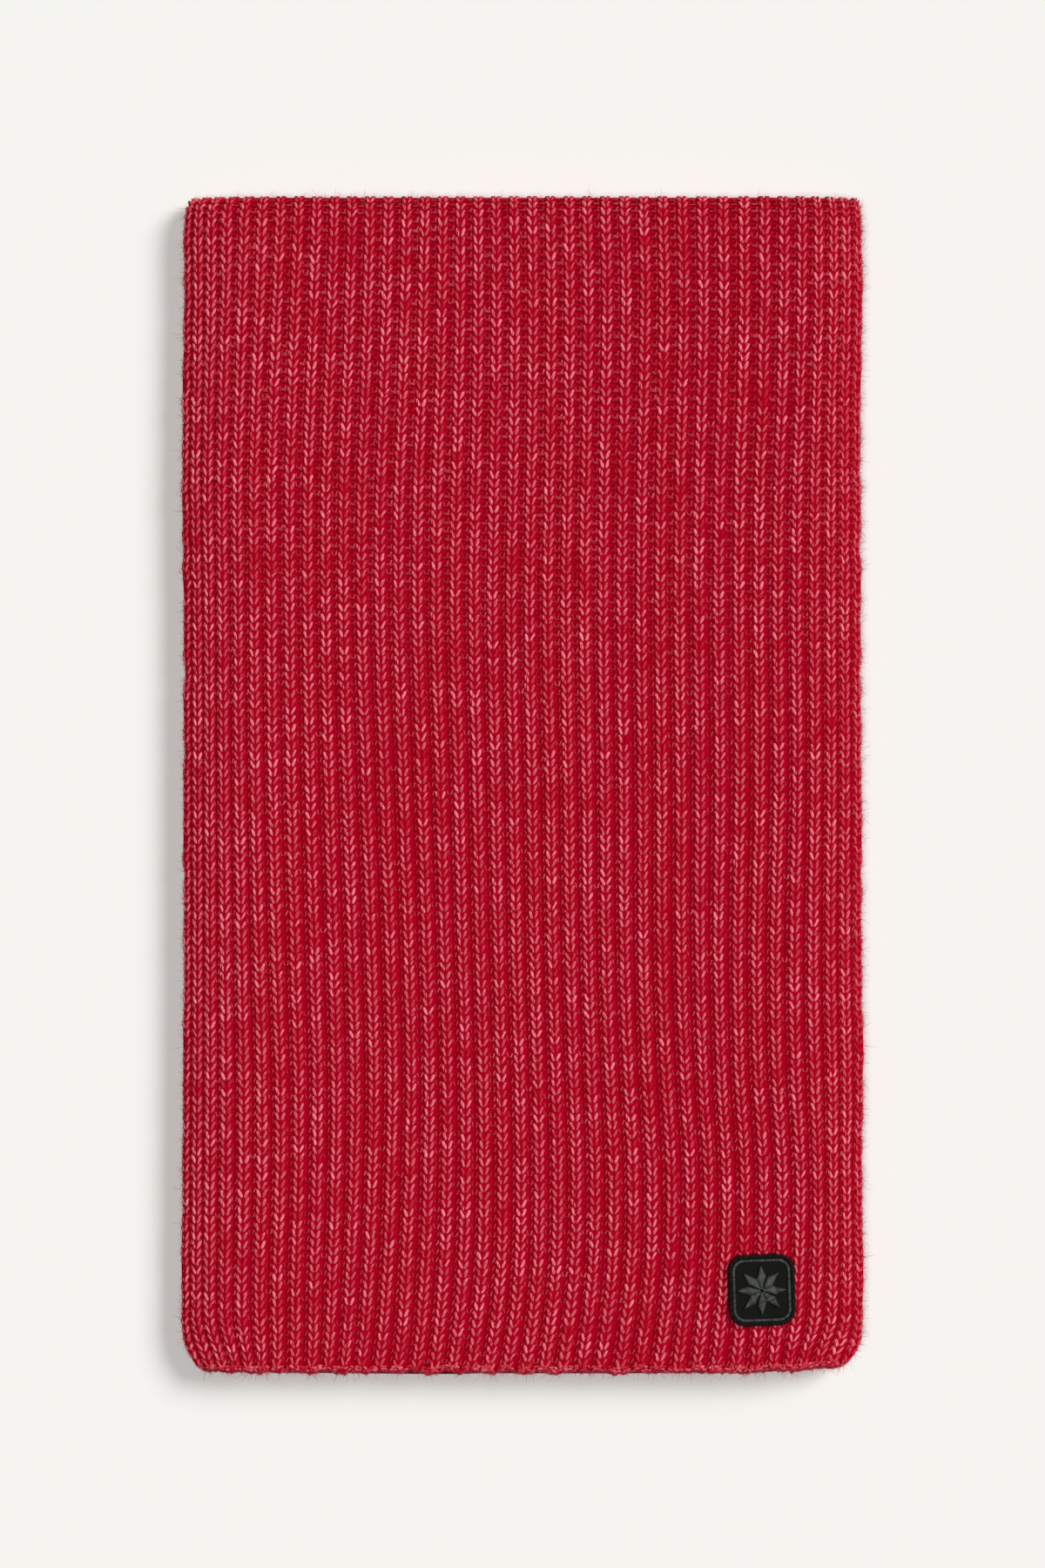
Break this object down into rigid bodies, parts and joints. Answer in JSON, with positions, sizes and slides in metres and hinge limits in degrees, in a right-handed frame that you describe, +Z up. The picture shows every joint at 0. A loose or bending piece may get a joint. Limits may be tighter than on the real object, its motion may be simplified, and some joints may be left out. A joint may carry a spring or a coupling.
{
  "type": "knit scarf",
  "caption": "Chunky rib-knit marled scarf, folded in half twice and lying flat, with a bound-off free end and a small embroidered patch near one corner.",
  "frame": {"origin": "middle of the underside, on the surface it lies on", "axes": "+X across the ribs to the right, +Y along the ribs from the free end with the patch towards the fold, +Z up"},
  "size_m": [0.2814, 0.483, 0.0204],
  "materials": {
    "marled_rib_knit": "soft, brushed marled yarn, matt",
    "hidden_rib_knit": "soft, brushed marled yarn, matt",
    "black_felt": "matt felt",
    "charcoal_thread": "satin embroidery thread"
  },
  "bodies": {
    "root": {"front_fall": "marled_rib_knit", "folded_layers": "hidden_rib_knit", "patch_base": "black_felt", "patch_star": "charcoal_thread"}
  },
  "joints": []
}
